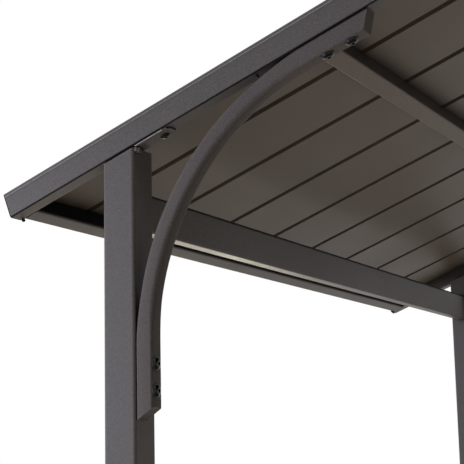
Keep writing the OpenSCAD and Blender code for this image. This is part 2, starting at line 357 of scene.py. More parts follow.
def grid_quads(copies, rows, columns, loop_rows):
    """Four corners of every cell of the grids, whose columns close on themselves and whose rows may."""
    last = rows if loop_rows else rows - 1
    row = np.arange(last)[:, None]
    column = np.arange(columns)[None, :]
    here = row * columns + column
    beside = row * columns + (column + 1) % columns
    above = ((row + 1) % rows) * columns + column
    corner = ((row + 1) % rows) * columns + (column + 1) % columns
    cells = np.stack([here, beside, corner, above], axis=-1).reshape(1, -1, 4)
    return (cells + np.arange(copies)[:, None, None] * rows * columns).reshape(-1, 4)


def grid_mesh(name, grids, loop_rows=False):
    """Mesh of grids of points, each an array of copies, rows and columns; rows may close on themselves.

    Points that fall together, as at a pole, are merged, and the faces are turned outwards.
    """
    points = []
    quads = []
    offset = 0
    for grid in grids:
        copies, rows, columns, _ = grid.shape
        quads.append(grid_quads(copies, rows, columns, loop_rows) + offset)
        points.append(grid.reshape(-1, 3))
        offset += copies * rows * columns
    mesh = bpy.data.meshes.new(name)
    mesh.from_pydata(np.concatenate(points), [], np.concatenate(quads).tolist())
    work = bmesh.new()
    work.from_mesh(mesh)
    bmesh.ops.remove_doubles(work, verts=work.verts, dist=MERGE_DISTANCE)
    bmesh.ops.recalc_face_normals(work, faces=work.faces)
    work.to_mesh(mesh)
    work.free()
    return mesh


def add_piece(name, grids, coat, loop_rows=False):
    """Make one piece of the object from grids of points, in a coat."""
    mesh = grid_mesh(name, grids, loop_rows)
    mesh.shade_smooth()
    mesh.set_sharp_from_angle(angle=SMOOTH_ANGLE)
    mesh.materials.append(bpy.data.materials[coat])
    piece = bpy.data.objects.new(name, mesh)
    bpy.context.scene.collection.objects.link(piece)
    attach(piece, "root")
    return piece


def new_group(name, values, results=()):
    """Start a shader node group that takes and gives a colour, and takes and gives values by their names.

    The values that it takes start at those of the plain coat.
    """
    group = bpy.data.node_groups.new(name, "ShaderNodeTree")
    add_socket = group.interface.new_socket
    for way in ("INPUT", "OUTPUT"):
        add_socket(name="Colour", in_out=way, socket_type="NodeSocketColor")
    for label in values:
        socket = add_socket(name=label, in_out="INPUT", socket_type="NodeSocketFloat")
        socket.default_value = PLAIN_COAT[label]
    for label in results:
        add_socket(name=label, in_out="OUTPUT", socket_type="NodeSocketFloat")
    return group, group.nodes.new("NodeGroupInput"), group.nodes.new("NodeGroupOutput")


def add_node(tree, kind, settings=None, values=None):
    """Add a node, set its own settings and the values of its sockets."""
    made = tree.nodes.new(kind)
    for key, value in (settings or {}).items():
        setattr(made, key, value)
    for key, value in (values or {}).items():
        made.inputs[key].default_value = value
    return made


def math_node(tree, operation, *values, clamp=False):
    """Output of a math node whose inputs are linked from sockets or set to numbers."""
    made = add_node(tree, "ShaderNodeMath", {"operation": operation, "use_clamp": clamp})
    for socket, value in zip(made.inputs, values):
        if isinstance(value, bpy.types.NodeSocket):
            tree.links.new(value, socket)
        else:
            socket.default_value = value
    return made.outputs[0]


def scaled(tree, colour, factor):
    """Output of a colour times a factor, both given as sockets."""
    made = add_node(tree, "ShaderNodeVectorMath", {"operation": "SCALE"})
    tree.links.new(colour, made.inputs[0])
    tree.links.new(factor, made.inputs["Scale"])
    return made.outputs[0]


def noise(tree, place, values):
    """Noise node that follows the piece's own coordinates."""
    made = add_node(tree, "ShaderNodeTexNoise", {}, values)
    tree.links.new(place.outputs["Object"], made.inputs["Vector"])
    return made


def grain_group():
    """Grain of a sprayed or rolled coat: fine specks, soft mottling and a slightly uneven skin."""
    values = ("Grain Scale", "Speck", "Mottle", "Roughness")
    group, given, result = new_group("Coat grain", values, ("Roughness", "Height"))
    link = group.links.new
    place = add_node(group, "ShaderNodeTexCoord")
    fine = noise(group, place, {"Detail": 2.0, "Roughness": 0.6})
    link(given.outputs["Grain Scale"], fine.inputs["Scale"])
    broad = noise(group, place, {"Scale": 5.0, "Detail": 3.0, "Roughness": 0.55})
    peel = noise(group, place, {"Scale": 260.0, "Detail": 1.0})
    fine_centred = math_node(group, "SUBTRACT", fine.outputs["Fac"], 0.5)
    broad_centred = math_node(group, "SUBTRACT", broad.outputs["Fac"], 0.5)
    specks = math_node(group, "MULTIPLY_ADD", fine_centred, given.outputs["Speck"], 1.0)
    shade = math_node(group, "MULTIPLY_ADD", broad_centred, given.outputs["Mottle"], specks)
    link(scaled(group, given.outputs["Colour"], shade), result.inputs["Colour"])
    rough = math_node(group, "MULTIPLY_ADD", broad_centred, 0.18, given.outputs["Roughness"])
    rough = math_node(group, "MULTIPLY_ADD", fine_centred, 0.10, rough, clamp=True)
    link(rough, result.inputs["Roughness"])
    height = math_node(group, "MULTIPLY_ADD", peel.outputs["Fac"], 0.5, fine.outputs["Fac"])
    link(height, result.inputs["Height"])
    return group


def edge_wear_and_highlight_group():
    """Lighter edges: where the rounded-off normal leaves the face's own, the colour is lighter, as worn thin
    coat and as painted highlight.
    """
    group, given, result = new_group("Edge wear and highlight", ("Radius", "Lift"))
    link = group.links.new
    face = add_node(group, "ShaderNodeNewGeometry")
    round_off = add_node(group, "ShaderNodeBevel", {"samples": 4})
    link(given.outputs["Radius"], round_off.inputs["Radius"])
    agree = add_node(group, "ShaderNodeVectorMath", {"operation": "DOT_PRODUCT"})
    link(face.outputs["Normal"], agree.inputs[0])
    link(round_off.outputs["Normal"], agree.inputs[1])
    worn_and_lit_edge = add_node(group, "ShaderNodeMapRange", {}, {"From Min": 0.995, "From Max": 0.80})
    link(agree.outputs["Value"], worn_and_lit_edge.inputs["Value"])
    gain = math_node(group, "MULTIPLY_ADD", worn_and_lit_edge.outputs["Result"], given.outputs["Lift"], 1.0)
    link(scaled(group, given.outputs["Colour"], gain), result.inputs["Colour"])
    return group


def painted_shade_group():
    """Painted shade in corners: the colour darkens where near surfaces shut it in.

    The seams value spares the faces that look along the ridge, as the turned-up edges of the roof sheets do,
    from this painted shade.
    """
    group, given, result = new_group("Corner painted shade", ("Reach", "Amount", "Unshaded Seams"))
    link = group.links.new
    shut_in = add_node(group, "ShaderNodeAmbientOcclusion", {"samples": 8})
    link(given.outputs["Reach"], shut_in.inputs["Distance"])
    # Ambient occlusion turned into a darker colour: painted shade
    shade_mask = add_node(group, "ShaderNodeMapRange", {}, {"From Min": 0.80, "From Max": 0.42})
    link(shut_in.outputs["AO"], shade_mask.inputs["Value"])
    share = math_node(group, "MULTIPLY", shade_mask.outputs["Result"], given.outputs["Amount"])
    face = add_node(group, "ShaderNodeNewGeometry")
    parts = add_node(group, "ShaderNodeSeparateXYZ")
    link(face.outputs["True Normal"], parts.inputs[0])
    seam = math_node(group, "GREATER_THAN", math_node(group, "ABSOLUTE", parts.outputs["Y"]), 0.7)
    unshaded = math_node(group, "MULTIPLY", seam, given.outputs["Unshaded Seams"])
    spared = math_node(group, "MULTIPLY", share, unshaded)
    darker = math_node(group, "SUBTRACT", 1.0, math_node(group, "SUBTRACT", share, spared))
    link(scaled(group, given.outputs["Colour"], darker), result.inputs["Colour"])
    return group


def coat_material(name, colour, groups, look):
    """Painted metal, bare metal or plastic: its grain, with edges lightened as worn coat and as painted
    highlight, and painted shade in its corners.

    The values of the look go to the groups' sockets of the same names; Bump is the strength of the skin.
    """
    coat = bpy.data.materials.new(name)
    coat.use_nodes = True
    tree = coat.node_tree
    link = tree.links.new
    shader = tree.nodes["Principled BSDF"]
    shader.inputs["Specular IOR Level"].default_value = look["Specular"]
    shader.inputs["Metallic"].default_value = look["Metallic"]
    grain, wear_and_highlight, corner_shade = (add_node(tree, "ShaderNodeGroup", {"node_tree": group}) for group in groups)
    for effect in (grain, wear_and_highlight, corner_shade):
        for socket in effect.inputs:
            if socket.name in look:
                socket.default_value = look[socket.name]
    grain.inputs["Colour"].default_value = (*colour, 1.0)
    link(grain.outputs["Colour"], wear_and_highlight.inputs["Colour"])
    link(wear_and_highlight.outputs["Colour"], corner_shade.inputs["Colour"])
    link(corner_shade.outputs["Colour"], shader.inputs["Base Color"])
    link(grain.outputs["Roughness"], shader.inputs["Roughness"])
    skin = add_node(tree, "ShaderNodeBump", {}, {"Strength": look["Bump"], "Distance": SKIN_HEIGHT})
    link(grain.outputs["Height"], skin.inputs["Height"])
    link(skin.outputs["Normal"], shader.inputs["Normal"])


class GAZEBO_OT_coats(Operator):
    """Make the coats and put them on the pieces of the frame"""
    bl_idname = "gazebo.coats"
    bl_label = "Coats"

    def execute(self, context):
        colours = context.scene.gazebo_colours
        groups = (grain_group(), edge_wear_and_highlight_group(), painted_shade_group())
        for name, (colour, own) in COATS.items():
            coat_material(name, getattr(colours, colour), groups, {**PLAIN_COAT, **own})
        slots = {row["node"]: row["material_slot"] for row in frame["record"]["subparts"]}
        for name, piece in NODES.items():
            coat = NODE_COATS.get(name) or SLOT_COATS.get(slots[name])
            if coat is None:
                raise RuntimeError("no coat for " + name)
            piece.data.materials.clear()
            piece.data.materials.append(bpy.data.materials[coat])
        return {"FINISHED"}


def round_box(width, depth, radius):
    """Outlines of rectangles with round edges, one for each radius.

    Each point is the corner's centre plus the radius along an angle, eight to a corner.
    """
    quarter = np.linspace(0.0, pi / 2, 8)
    angle = np.concatenate([quarter + turn * pi / 2 for turn in range(4)])
    sign_across = np.repeat([1.0, -1.0, -1.0, 1.0], 8)
    sign_along = np.repeat([1.0, 1.0, -1.0, -1.0], 8)
    radius = np.asarray(radius, float)[:, None]
    across = width / 2 + (width / 2 - radius) * sign_across + radius * np.cos(angle)
    along = depth / 2 + (depth / 2 - radius) * sign_along + radius * np.sin(angle)
    return across, along


def both_ends(end, bend):
    """Values along a brace: those of its lower end, of its bend, and of the end again, turned round."""
    return np.concatenate([end, bend, end[::-1]])


def brace_skin(edge_radius):
    """Skin of a brace in its corner: (in from the post, behind its front, up from the corner).

    The outline goes up the post, round the bend, which it hugs with its outer side, and up the rake. On
    the bend a point at q from the outer side is the bend's centre plus (bend radius less q) along the
    angle; on a straight end it goes on from there by its way past the bend. The edges are rounder in the
    bend, by a smooth step at either end of it. The end rows slant by the cut, turn in over the wall and
    sink to a plug.
    """
    turn = pi / 2 - SLOPE
    straight = BRACE_BEND * np.tan(turn / 2)
    bend = np.linspace(0.0, 1.0, BEND_ROWS)
    zeros = np.zeros(BEND_ROWS)
    swing = np.concatenate([np.zeros(5), bend * turn, np.full(5, turn)])[:, None]
    reach = both_ends(np.array([1.0, 1.0, 1.0, 1.0, 0.5]), zeros)[:, None]
    sunk = both_ends(np.array([0.006, 0.005, 0.0, 0.0, 0.0]), zeros)[:, None]
    inset = both_ends(np.array([BRACE_WALL, BRACE_WALL, BRACE_WALL, 0.0, 0.0]), zeros)[:, None]
    ease = both_ends(np.zeros(5), np.clip(np.minimum(bend, 1.0 - bend) / BEND_EASE, 0.0, 1.0))
    radius = BRACE_EDGE + (edge_radius - BRACE_EDGE) * ease * ease * (3.0 - 2.0 * ease)
    across, along = round_box(BRACE_WIDTH, BRACE_DEPTH, radius)
    front = inset + SKIN_FRONT * (inset > 0.0)
    across = BRACE_WIDTH / 2 + (across - BRACE_WIDTH / 2) * (1.0 - 2.0 * inset / BRACE_WIDTH)
    along = front + along * (1.0 - (front + inset) / BRACE_DEPTH)
    for row in (0, -1):
        across[row] = BRACE_WIDTH / 2
        along[row] = BRACE_DEPTH / 2
    past = reach * (BRACE_REACH - straight - across * np.tan(BRACE_CUT)) - sunk
    past = np.where(reach > 0.0, past, 0.0)
    past *= np.where(np.arange(len(reach)) <= len(reach) // 2, 1.0, -1.0)[:, None]
    inward = BRACE_BEND - (BRACE_BEND - across) * np.cos(swing) - past * np.sin(swing)
    upward = -straight + (BRACE_BEND - across) * np.sin(swing) - past * np.cos(swing)
    return np.stack([inward, along, upward], axis=-1)


class GAZEBO_OT_brace_skins(Operator):
    """Smooth skin of each curved brace, with edges that the bending has rounded"""
    bl_idname = "gazebo.brace_skins"
    bl_label = "Brace skins"

    def execute(self, context):
        skin = brace_skin(context.scene.gazebo_sizes.bend_edge)
        for side, end in CORNERS:
            node = ("front" if end < 0 else "rear") + ("_left" if side < 0 else "_right") + "_brace"
            x = side * (HALF_CLEAR - skin[..., 0])
            y = end * (HALF_DEPTH - BRACE_SETBACK - skin[..., 1])
            z = HEAD_HEIGHT + skin[..., 2]
            grid = np.stack([x, y, z], axis=-1)[None]
            piece = add_piece(node + "_skin", [grid], "brace_coat")
            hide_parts(node)
        return {"FINISHED"}


def dome_bolt(head, washer):
    """Washer and dome head with a hexagon socket, as one turned profile from the seat to the socket's floor.

    The dome is an arc stretched to the head's radius and to its rise.
    """
    half = head / 2
    socket = head * 0.20
    foot = 0.0024
    crown = 0.0034
    top = foot + crown
    dome = np.linspace(0.12 * pi, 0.40 * pi, 8)
    rise = crown / (np.sin(dome[-1]) - np.sin(dome[0]))
    span = half / np.cos(dome[0])
    radius = np.concatenate([
        [0.0, washer / 2, washer / 2, washer / 2 - 0.0004, half + 0.0002, half],
        span * np.cos(dome), [socket * 1.22, socket, socket, 0.0]])
    height = np.concatenate([
        [0.0, 0.0, 0.0010, 0.0014, 0.0015, 0.0019],
        foot + rise * (np.sin(dome) - np.sin(dome[0])), [top, top - 0.0005, top - 0.0030, top - 0.0034]])
    hexed = np.concatenate([np.zeros(6 + len(dome)), [0.3, 1.0, 1.0, 1.0]])
    return turned(radius, height, hexed, 36)


class GAZEBO_OT_brace_bolts(Operator):
    """Two dome-head bolts at either end of each brace, on its inner face"""
    bl_idname = "gazebo.brace_bolts"
    bl_label = "Brace bolts"

    def execute(self, context):
        sizes = context.scene.gazebo_sizes
        reach = sizes.bolt_reach + np.array([0.0, sizes.bolt_pitch])
        centres = []
        normals = []
        for side, end in CORNERS:
            along = end * (HALF_DEPTH - BOLT_SETBACK)
            face = np.full(2, side * (HALF_CLEAR - BRACE_WIDTH))
            centres.append(np.stack([face, np.full(2, along), HEAD_HEIGHT - reach], axis=-1))
            centres.append(slope_points(side, reach, -BRACE_WIDTH, along))
            normals.append(np.tile([-side, 0.0, 0.0], (2, 1)))
            normals.append(np.tile(-slope_normal(side), (2, 1)))
        centres = np.concatenate(centres)
        spins = np.arange(len(centres)) * 0.7
        shape = dome_bolt(sizes.bolt_head, sizes.bolt_washer)
        bolts = placed(shape, centres, np.concatenate(normals), spins)
        add_piece("brace_bolts", [bolts], "bolt_black")
        return {"FINISHED"}


def pan_screw(head):
    """Pan-head screw with a driver recess, as one turned profile from the seat to the recess's floor."""
    half = head / 2
    crown = np.linspace(0.0, 0.42 * pi, 6)
    rim = half * (0.25 + 0.75 * np.cos(crown))
    radius = np.concatenate([[0.0, half], rim, [half * 0.30, half * 0.22, 0.0]])
    height = np.concatenate([[0.0, 0.0], 0.0012 + 0.0028 * np.sin(crown), [0.0039, 0.0020, 0.0018]])
    hexed = np.concatenate([np.zeros(8), [0.6, 1.0, 1.0]])
    return turned(radius, height, hexed, 24)


class GAZEBO_OT_plate_screws(Operator):
    """A pan-head screw in each head plate and a small one in the underside of each rake"""
    bl_idname = "gazebo.plate_screws"
    bl_label = "Plate screws"

    def execute(self, context):
        head = context.scene.gazebo_sizes.screw_head
        rows = ((head, -HEAD_PLATE_THICKNESS, *PLATE_SCREW), (head * RAKE_SCREW_SHARE, 0.0, *RAKE_SCREW))
        normals = np.stack([-slope_normal(side) for side, end in CORNERS])
        spins = np.arange(len(CORNERS)) * 0.9
        grids = []
        for size, lift, run, behind in rows:
            centres = np.concatenate([
                slope_points(side, [run], lift, end * (HALF_DEPTH - behind)) for side, end in CORNERS])
            grids.append(placed(pan_screw(size), centres, normals, spins))
        add_piece("plate_screws", grids, "bolt_black")
        return {"FINISHED"}


def anchor_shape(flats):
    """Stud, washer and nut of a ground anchor, as one turned profile from the stud's foot to its tip."""
    nut = flats / 2
    thread = np.tile([0.0050, 0.0045], 4)
    radius = np.concatenate([
        [0.0, 0.0050, 0.0050, 0.0105, 0.0105, 0.0102, nut * 0.97, nut, nut, nut, 0.0052],
        thread, [0.0042, 0.0]])
    height = np.concatenate([
        [-0.0046, -0.0046, 0.0, 0.0, 0.0016, 0.0019, 0.0019, 0.0024, 0.0092, 0.0099, 0.0101],
        0.0102 + 0.0006 * np.arange(8), [0.0156, 0.0158]])
    hexed = np.concatenate([[0, 0, 0, 0, 0, 0, 0.4, 1, 1, 0.1, 0], np.zeros(10)])
    return turned(radius, height, hexed, 36)


def post_middles(level):
    """Middles of the four posts at one height."""
    x = HALF_CLEAR + POST_WIDTH / 2
    y = HALF_DEPTH - POST_WIDTH / 2
    return np.array([(side * x, end * y, level) for side, end in CORNERS])


class GAZEBO_OT_foot_anchors(Operator):
    """Four zinc-plated anchors through each foot plate"""
    bl_idname = "gazebo.foot_anchors"
    bl_label = "Foot anchors"

    def execute(self, context):
        sizes = context.scene.gazebo_sizes
        half = sizes.anchor_pitch / 2
        offsets = np.array([(across * half, along * half, 0.0) for across, along in CORNERS])
        centres = (post_middles(FOOT_TOP)[:, None, :] + offsets).reshape(-1, 3)
        normals = np.tile([0.0, 0.0, 1.0], (len(centres), 1))
        spins = np.arange(len(centres)) * 1.3
        anchors = placed(anchor_shape(sizes.anchor_nut), centres, normals, spins)
        add_piece("foot_anchors", [anchors], "anchor_zinc")
        return {"FINISHED"}


class GAZEBO_OT_post_welds(Operator):
    """Short rough weld between each post's inner face and its head plate"""
    bl_idname = "gazebo.post_welds"
    bl_label = "Post welds"

    def execute(self, context):
        # A round bead whose radius closes at both ends and ripples with sines of the way along it
        radius = 0.0046
        begin = 0.003
        length = 0.022
        drop = 0.0030
        inset = 0.0006
        station = np.linspace(0.0, 1.0, 61)
        around = circle(12)
        swell = np.sqrt(np.clip(1.0 - (2.0 * station - 1.0) ** 6, 0.0, 1.0))
        swell *= radius * (1.0 + 0.30 * np.sin(station * 31.0) + 0.14 * np.sin(station * 77.0))
        wander = 0.0009 * np.sin(station * 23.0)
        across = wander[:, None] + swell[:, None] * np.cos(around)[None, :]
        up = swell[:, None] * np.sin(around)[None, :]
        along = np.repeat((begin + length * station)[:, None], len(around), axis=1)
        bead = np.stack([across, along, up], axis=-1)
        level = HEAD_HEIGHT - HEAD_PLATE_THICKNESS - drop
        grids = []
        for side, end in CORNERS:
            start = np.array([side * (HALF_CLEAR - inset), end * HALF_DEPTH, level])
            grids.append(start + bead * np.array([side, -end, 1.0]))
        add_piece("post_welds", [np.stack(grids)], "weld_coat")
        return {"FINISHED"}


def round_square(half, radius, count):
    """Way round a square with round corners: the corner's centre plus the radius along each angle."""
    angle = (np.arange(count) + 0.5) * (2 * pi / count)
    turn = np.mod(angle, pi / 2)
    share = np.clip((turn - pi / 8) / (pi / 4), 0.0, 1.0)
    quarter = np.floor(angle / (pi / 2)) * (pi / 2)
    facing = quarter + share * (pi / 2)
    number = np.round(quarter / (pi / 2))
    centre_x = (half - radius) * np.where(np.isin(number, (0, 3)), 1.0, -1.0)
    centre_y = (half - radius) * np.where(np.isin(number, (0, 1)), 1.0, -1.0)
    ways = np.stack([np.cos(facing), np.sin(facing)], axis=-1)
    return np.stack([centre_x, centre_y], axis=-1) + radius * ways, ways


class GAZEBO_OT_foot_welds(Operator):
    """Rippled weld bead between each post and its foot plate"""
    bl_idname = "gazebo.foot_welds"
    bl_label = "Foot welds"

    def execute(self, context):
        # A round bead carried round the post's foot, whose radius ripples with a sine of the way along it
        leg = context.scene.gazebo_sizes.weld_leg
        stations = 320
        path, ways = round_square(POST_WIDTH / 2, POST_CORNER, stations)
        around = circle(10)
        ripple = 1.0 + 0.10 * np.abs(np.sin(np.arange(stations) * 0.9))
        seat = leg * 0.12
        radius = leg * 0.62
        out = seat + radius * np.cos(around)[None, :] * ripple[:, None]
        up = seat + radius * np.sin(around)[None, :] * ripple[:, None]
        plan = path[:, None, :] + ways[:, None, :] * out[:, :, None]
        bead = np.concatenate([plan, (FOOT_TOP + up)[:, :, None]], axis=-1)
        beads = post_middles(0.0)[:, None, None, :] + bead[None]
        add_piece("foot_welds", [beads], "weld_coat", loop_rows=True)
        return {"FINISHED"}


def roof_screw_shape(width):
    """Sealing washer, flange and hexagon head of a roof screw, as one turned profile."""
    share = np.array([0.0, 1.0, 1.0, 0.88, 0.74, 0.74, 0.57, 0.57, 0.5, 0.0])
    height = np.array([0.0, 0.0, 0.0008, 0.0017, 0.0019, 0.0028, 0.0030, 0.0056, 0.0062, 0.0063])
    hexed = np.array([0, 0, 0, 0, 0, 0, 1, 1, 0.3, 0])
    return turned(width / 2 * share, height, hexed, 24)


class GAZEBO_OT_roof_screws(Operator):
    """Screws through the ribs at the eaves and the purlins, and through the edges of the ridge cap"""
    bl_idname = "gazebo.roof_screws"
    bl_label = "Roof screws"

    def execute(self, context):
        ribs = HALF_DEPTH * 2 * np.arange(1, SHEET_COUNT) / SHEET_COUNT - HALF_DEPTH
        cap_run = ridge_run(CAP_TOP) - CAP_SCREW_IN
        rows = ((EAVE_LOW + EAVE_SCREW_IN, RIB_TOP), (PURLIN_AT, RIB_TOP), (cap_run, CAP_TOP))
        centres = np.concatenate([
            slope_points(side, run, lift, ribs) for side in SIDES for run, lift in rows])
        normals = np.repeat(np.stack([slope_normal(side) for side in SIDES]), len(rows) * len(ribs), axis=0)
        spins = np.arange(len(centres)) * 0.8
        screws = placed(roof_screw_shape(context.scene.gazebo_sizes.roof_screw), centres, normals, spins)
        add_piece("roof_screws", [screws], "bolt_black")
        return {"FINISHED"}


def sheet_outline(middle, thickness):
    """Closed outline of a bent strip: its middle line set off by half the thickness, there and back."""
    middle = np.asarray(middle, float)
    way = np.gradient(middle, axis=0)
    way /= np.linalg.norm(way, axis=1, keepdims=True)
    off = np.stack([-way[:, 1], way[:, 0]], axis=-1) * thickness / 2
    return np.concatenate([middle + off, (middle - off)[::-1]])


def closed_rows(first, last):
    """Rows of a straight sweep between two outlines of a strip, folded shut at both ends."""
    return np.stack([(first + first[::-1]) / 2, first, last, (last + last[::-1]) / 2])


def along_rakes(behind, lift, low=RAKE_LOW, high=None):
    """Closed outline carried up all four rakes, from run low to run high.

    If not told, it starts at the rakes' low ends and ends at the upright plane of the ridge.
    """
    if high is None:
        high = ridge_run(lift)
    grids = []
    for side, end in CORNERS:
        along = end * (HALF_DEPTH - behind)
        ends = [slope_points(side, run, lift, along) for run in (low, high)]
        grids.append(closed_rows(*ends))
    return np.stack(grids)


def along_eaves(run, lift):
    """Closed outline carried along both eaves, from rake to rake."""
    inside = HALF_DEPTH - RAKE_DEPTH
    grids = []
    for side in SIDES:
        ends = [slope_points(side, run, lift, along) for along in (-inside, inside)]
        grids.append(closed_rows(*ends))
    return np.stack(grids)


class GAZEBO_OT_rake_laps(Operator):
    """Turned-down lap of the roof's edge along the top of each rake's face, and a light crease under it,
    which is a painted highlight
    """
    bl_idname = "gazebo.rake_laps"
    bl_label = "Rake laps"

    def execute(self, context):
        # The outer side is an arc over the rake's upper edge and a tapering face, the inner one is straight
        fold = 0.0030
        crown = np.linspace(0.1 * pi, 0.5 * pi, 6)
        outer_behind = np.concatenate([0.0022 - fold * np.sin(crown), [-0.0011, -0.0010, 0.0002]])
        outer_lift = np.concatenate([0.0425 + fold * np.cos(crown), [0.0388, 0.0376, 0.0352]])
        inner_behind = np.full(len(outer_lift), 0.0028)
        inner_lift = np.linspace(0.0448, 0.0360, len(outer_lift))
        behind = np.concatenate([outer_behind, inner_behind])
        lift = np.concatenate([outer_lift, inner_lift[::-1]])
        add_piece("rake_laps", [along_rakes(behind, lift)], "powder_coat")
        # Light-grey bead in the weld colour: a painted highlight
        crease_highlights = along_rakes(*bead_outline(*RAKE_CREASE_HIGHLIGHT))
        add_piece("rake_crease_highlights", [crease_highlights], "weld_coat")
        return {"FINISHED"}


class GAZEBO_OT_rake_shade_lines(Operator):
    """Black bead under the front edge of each rake, a line of painted shade"""
    bl_idname = "gazebo.rake_seals"
    bl_label = "Rake shade lines"

    def execute(self, context):
        shade_lines = along_rakes(*bead_outline(*RAKE_SHADE_LINE, count=12))
        add_piece("rake_seals", [shade_lines], "plug_plastic")
        return {"FINISHED"}


class GAZEBO_OT_beam_shade_lines(Operator):
    """Thin black bead along the upper inner edge of each eave beam, a line of painted shade"""
    bl_idname = "gazebo.beam_seals"
    bl_label = "Beam shade lines"

    def execute(self, context):
        out, over, radius = BEAM_SHADE_LINE
        across, up = bead_outline(-BEAM_HIGH.x + out, BEAM_HIGH.z + over, radius)
        grids = []
        for side in SIDES:
            ends = [
                np.stack([side * across, np.full(len(up), along), up], axis=-1)
                for along in (BEAM_LOW.y, BEAM_HIGH.y)]
            grids.append(closed_rows(*ends))
        add_piece("beam_seals", [np.stack(grids)], "plug_plastic")
        return {"FINISHED"}


class GAZEBO_OT_plug_lips(Operator):
    """Small black lip of the plug at the low rear corner of each rake"""
    bl_idname = "gazebo.plug_lips"
    bl_label = "Plug lips"

    def execute(self, context):
        run = RAKE_LOW + np.array([0.0010, 0.0006, 0.0006, 0.0010, 0.0046, 0.0050, 0.0050, 0.0046])
        lift = np.array([0.0020, 0.0016, -0.0040, -0.0044, -0.0044, -0.0040, 0.0016, 0.0020])
        grids = []
        for side, end in CORNERS:
            ends = [slope_points(side, run, lift, end * (HALF_DEPTH - behind)) for behind in PLUG_LIP_BEHIND]
            grids.append(closed_rows(*ends))
        add_piece("plug_lips", [np.stack(grids)], "plug_plastic")
        return {"FINISHED"}


class GAZEBO_OT_plate_lips(Operator):
    """Lip along the front edge of each head plate, with a thin bright bead on its edge as painted highlight
    """
    bl_idname = "gazebo.plate_lips"
    bl_label = "Plate lips"

    def execute(self, context):
        behind = np.array([0.0045, 0.0036, 0.0036, 0.0045, 0.0100, 0.0104, 0.0104, 0.0100])
        lift = np.array([0.0006, 0.0002, -0.0024, -0.0029, -0.0029, -0.0024, 0.0002, 0.0006])
        lips = along_rakes(behind, lift, *PLATE_LIP_RUN)
        add_piece("plate_lips", [lips], "powder_coat")
        beads = along_rakes(*bead_outline(*PLATE_HIGHLIGHT_BEAD), *PLATE_HIGHLIGHT_BEAD_RUN)
        add_piece("plate_highlight_beads", [beads], "bead_coat")
        return {"FINISHED"}


class GAZEBO_OT_eave_closures(Operator):
    """Folded strip that closes the low ends of the roof sheets and ribs"""
    bl_idname = "gazebo.eave_closures"
    bl_label = "Eave closures"

    def execute(self, context):
        # The strip lies on the ribs, turns down over the sheets' ends and ends in an arc, its hem
        face = -0.0008
        thickness = 0.0008
        fold = 0.0013
        hem = np.linspace(0.0, 1.1 * pi, 7)
        run = np.concatenate([[0.016, 0.004, face, face], face - fold + fold * np.cos(hem)])
        lift = np.concatenate([[0.0448, 0.0448, 0.0445, 0.0200], 0.0160 - fold * np.sin(hem)])
        outline = sheet_outline(np.stack([run, lift], axis=-1), thickness)
        closures = along_eaves(EAVE_LOW + outline[:, 0], outline[:, 1])
        add_piece("eave_closures", [closures], "coil_coat")
        return {"FINISHED"}


class GAZEBO_OT_eave_shade_strips(Operator):
    """Black strip on the inner side of each eave rail, under the low ends of the sheets, as painted shade"""
    bl_idname = "gazebo.eave_fillers"
    bl_label = "Eave shade strips"

    def execute(self, context):
        back = -0.0005
        run = EAVE_RAIL_INSIDE + np.array([0.0022, 0.0026, 0.0026, 0.0022, back, back, back, back])
        lift = np.array([0.0008, 0.0012, 0.0288, 0.0292, 0.0292, 0.0288, 0.0012, 0.0008])
        add_piece("eave_fillers", [along_eaves(run, lift)], "plug_plastic")
        return {"FINISHED"}


def seen_directly(tree):
    """Socket that is one for rays from the camera and for those mirrored or let through by the gazebo."""
    path = add_node(tree, "ShaderNodeLightPath")
    seen = math_node(tree, "MAXIMUM", path.outputs["Is Camera Ray"], path.outputs["Is Glossy Ray"])
    return math_node(tree, "MAXIMUM", seen, path.outputs["Is Transmission Ray"])


def add_floor(colour):
    """Round floor of rings about the origin.

    It is pale and takes the shadows near the gazebo, and turns white to the camera farther from the middle.
    """
    count = len(FLOOR_RINGS)
    rings = turned(FLOOR_RINGS, np.full(count, FLOOR_LEVEL), np.zeros(count), 64)
    mesh = grid_mesh("floor", [rings[None]])
    floor = bpy.data.objects.new("floor", mesh)
    bpy.context.scene.collection.objects.link(floor)
    coat = bpy.data.materials.new("floor")
    coat.use_nodes = True
    tree = coat.node_tree
    link = tree.links.new
    shader = tree.nodes["Principled BSDF"]
    shader.inputs["Base Color"].default_value = (*colour, 1.0)
    shader.inputs["Roughness"].default_value = 0.9
    shader.inputs["Specular IOR Level"].default_value = 0.1
    place = add_node(tree, "ShaderNodeTexCoord")
    away = add_node(tree, "ShaderNodeVectorMath", {"operation": "LENGTH"})
    link(place.outputs["Object"], away.inputs[0])
    near, far = FLOOR_CLEARS
    cleared = add_node(tree, "ShaderNodeMapRange", {"interpolation_type": "SMOOTHSTEP"},
                       {"From Min": near, "From Max": far})
    link(away.outputs["Value"], cleared.inputs["Value"])
    white = math_node(tree, "MULTIPLY", seen_directly(tree), cleared.outputs["Result"])
    backdrop = add_node(tree, "ShaderNodeEmission", {}, {"Color": WHITE, "Strength": 1.0})
    mix = add_node(tree, "ShaderNodeMixShader")
    link(white, mix.inputs["Fac"])
    link(shader.outputs["BSDF"], mix.inputs[1])
    link(backdrop.outputs["Emission"], mix.inputs[2])
    link(mix.outputs[0], tree.nodes["Material Output"].inputs["Surface"])
    mesh.materials.append(coat)


def add_lamp(name, place, target, size, power, colour):
    """Square soft lamp at a place, turned to a target, unseen by the camera."""
    data = bpy.data.lights.new(name, "AREA")
    data.shape = "SQUARE"
    data.size = size
    data.energy = power
    data.color = colour
    lamp = bpy.data.objects.new(name, data)
    lamp.location = place
    way = np.array(target) - np.array(place)
    lamp.rotation_euler = Vector(way).to_track_quat("-Z", "Y").to_euler()
    lamp.visible_camera = False
    bpy.context.scene.collection.objects.link(lamp)


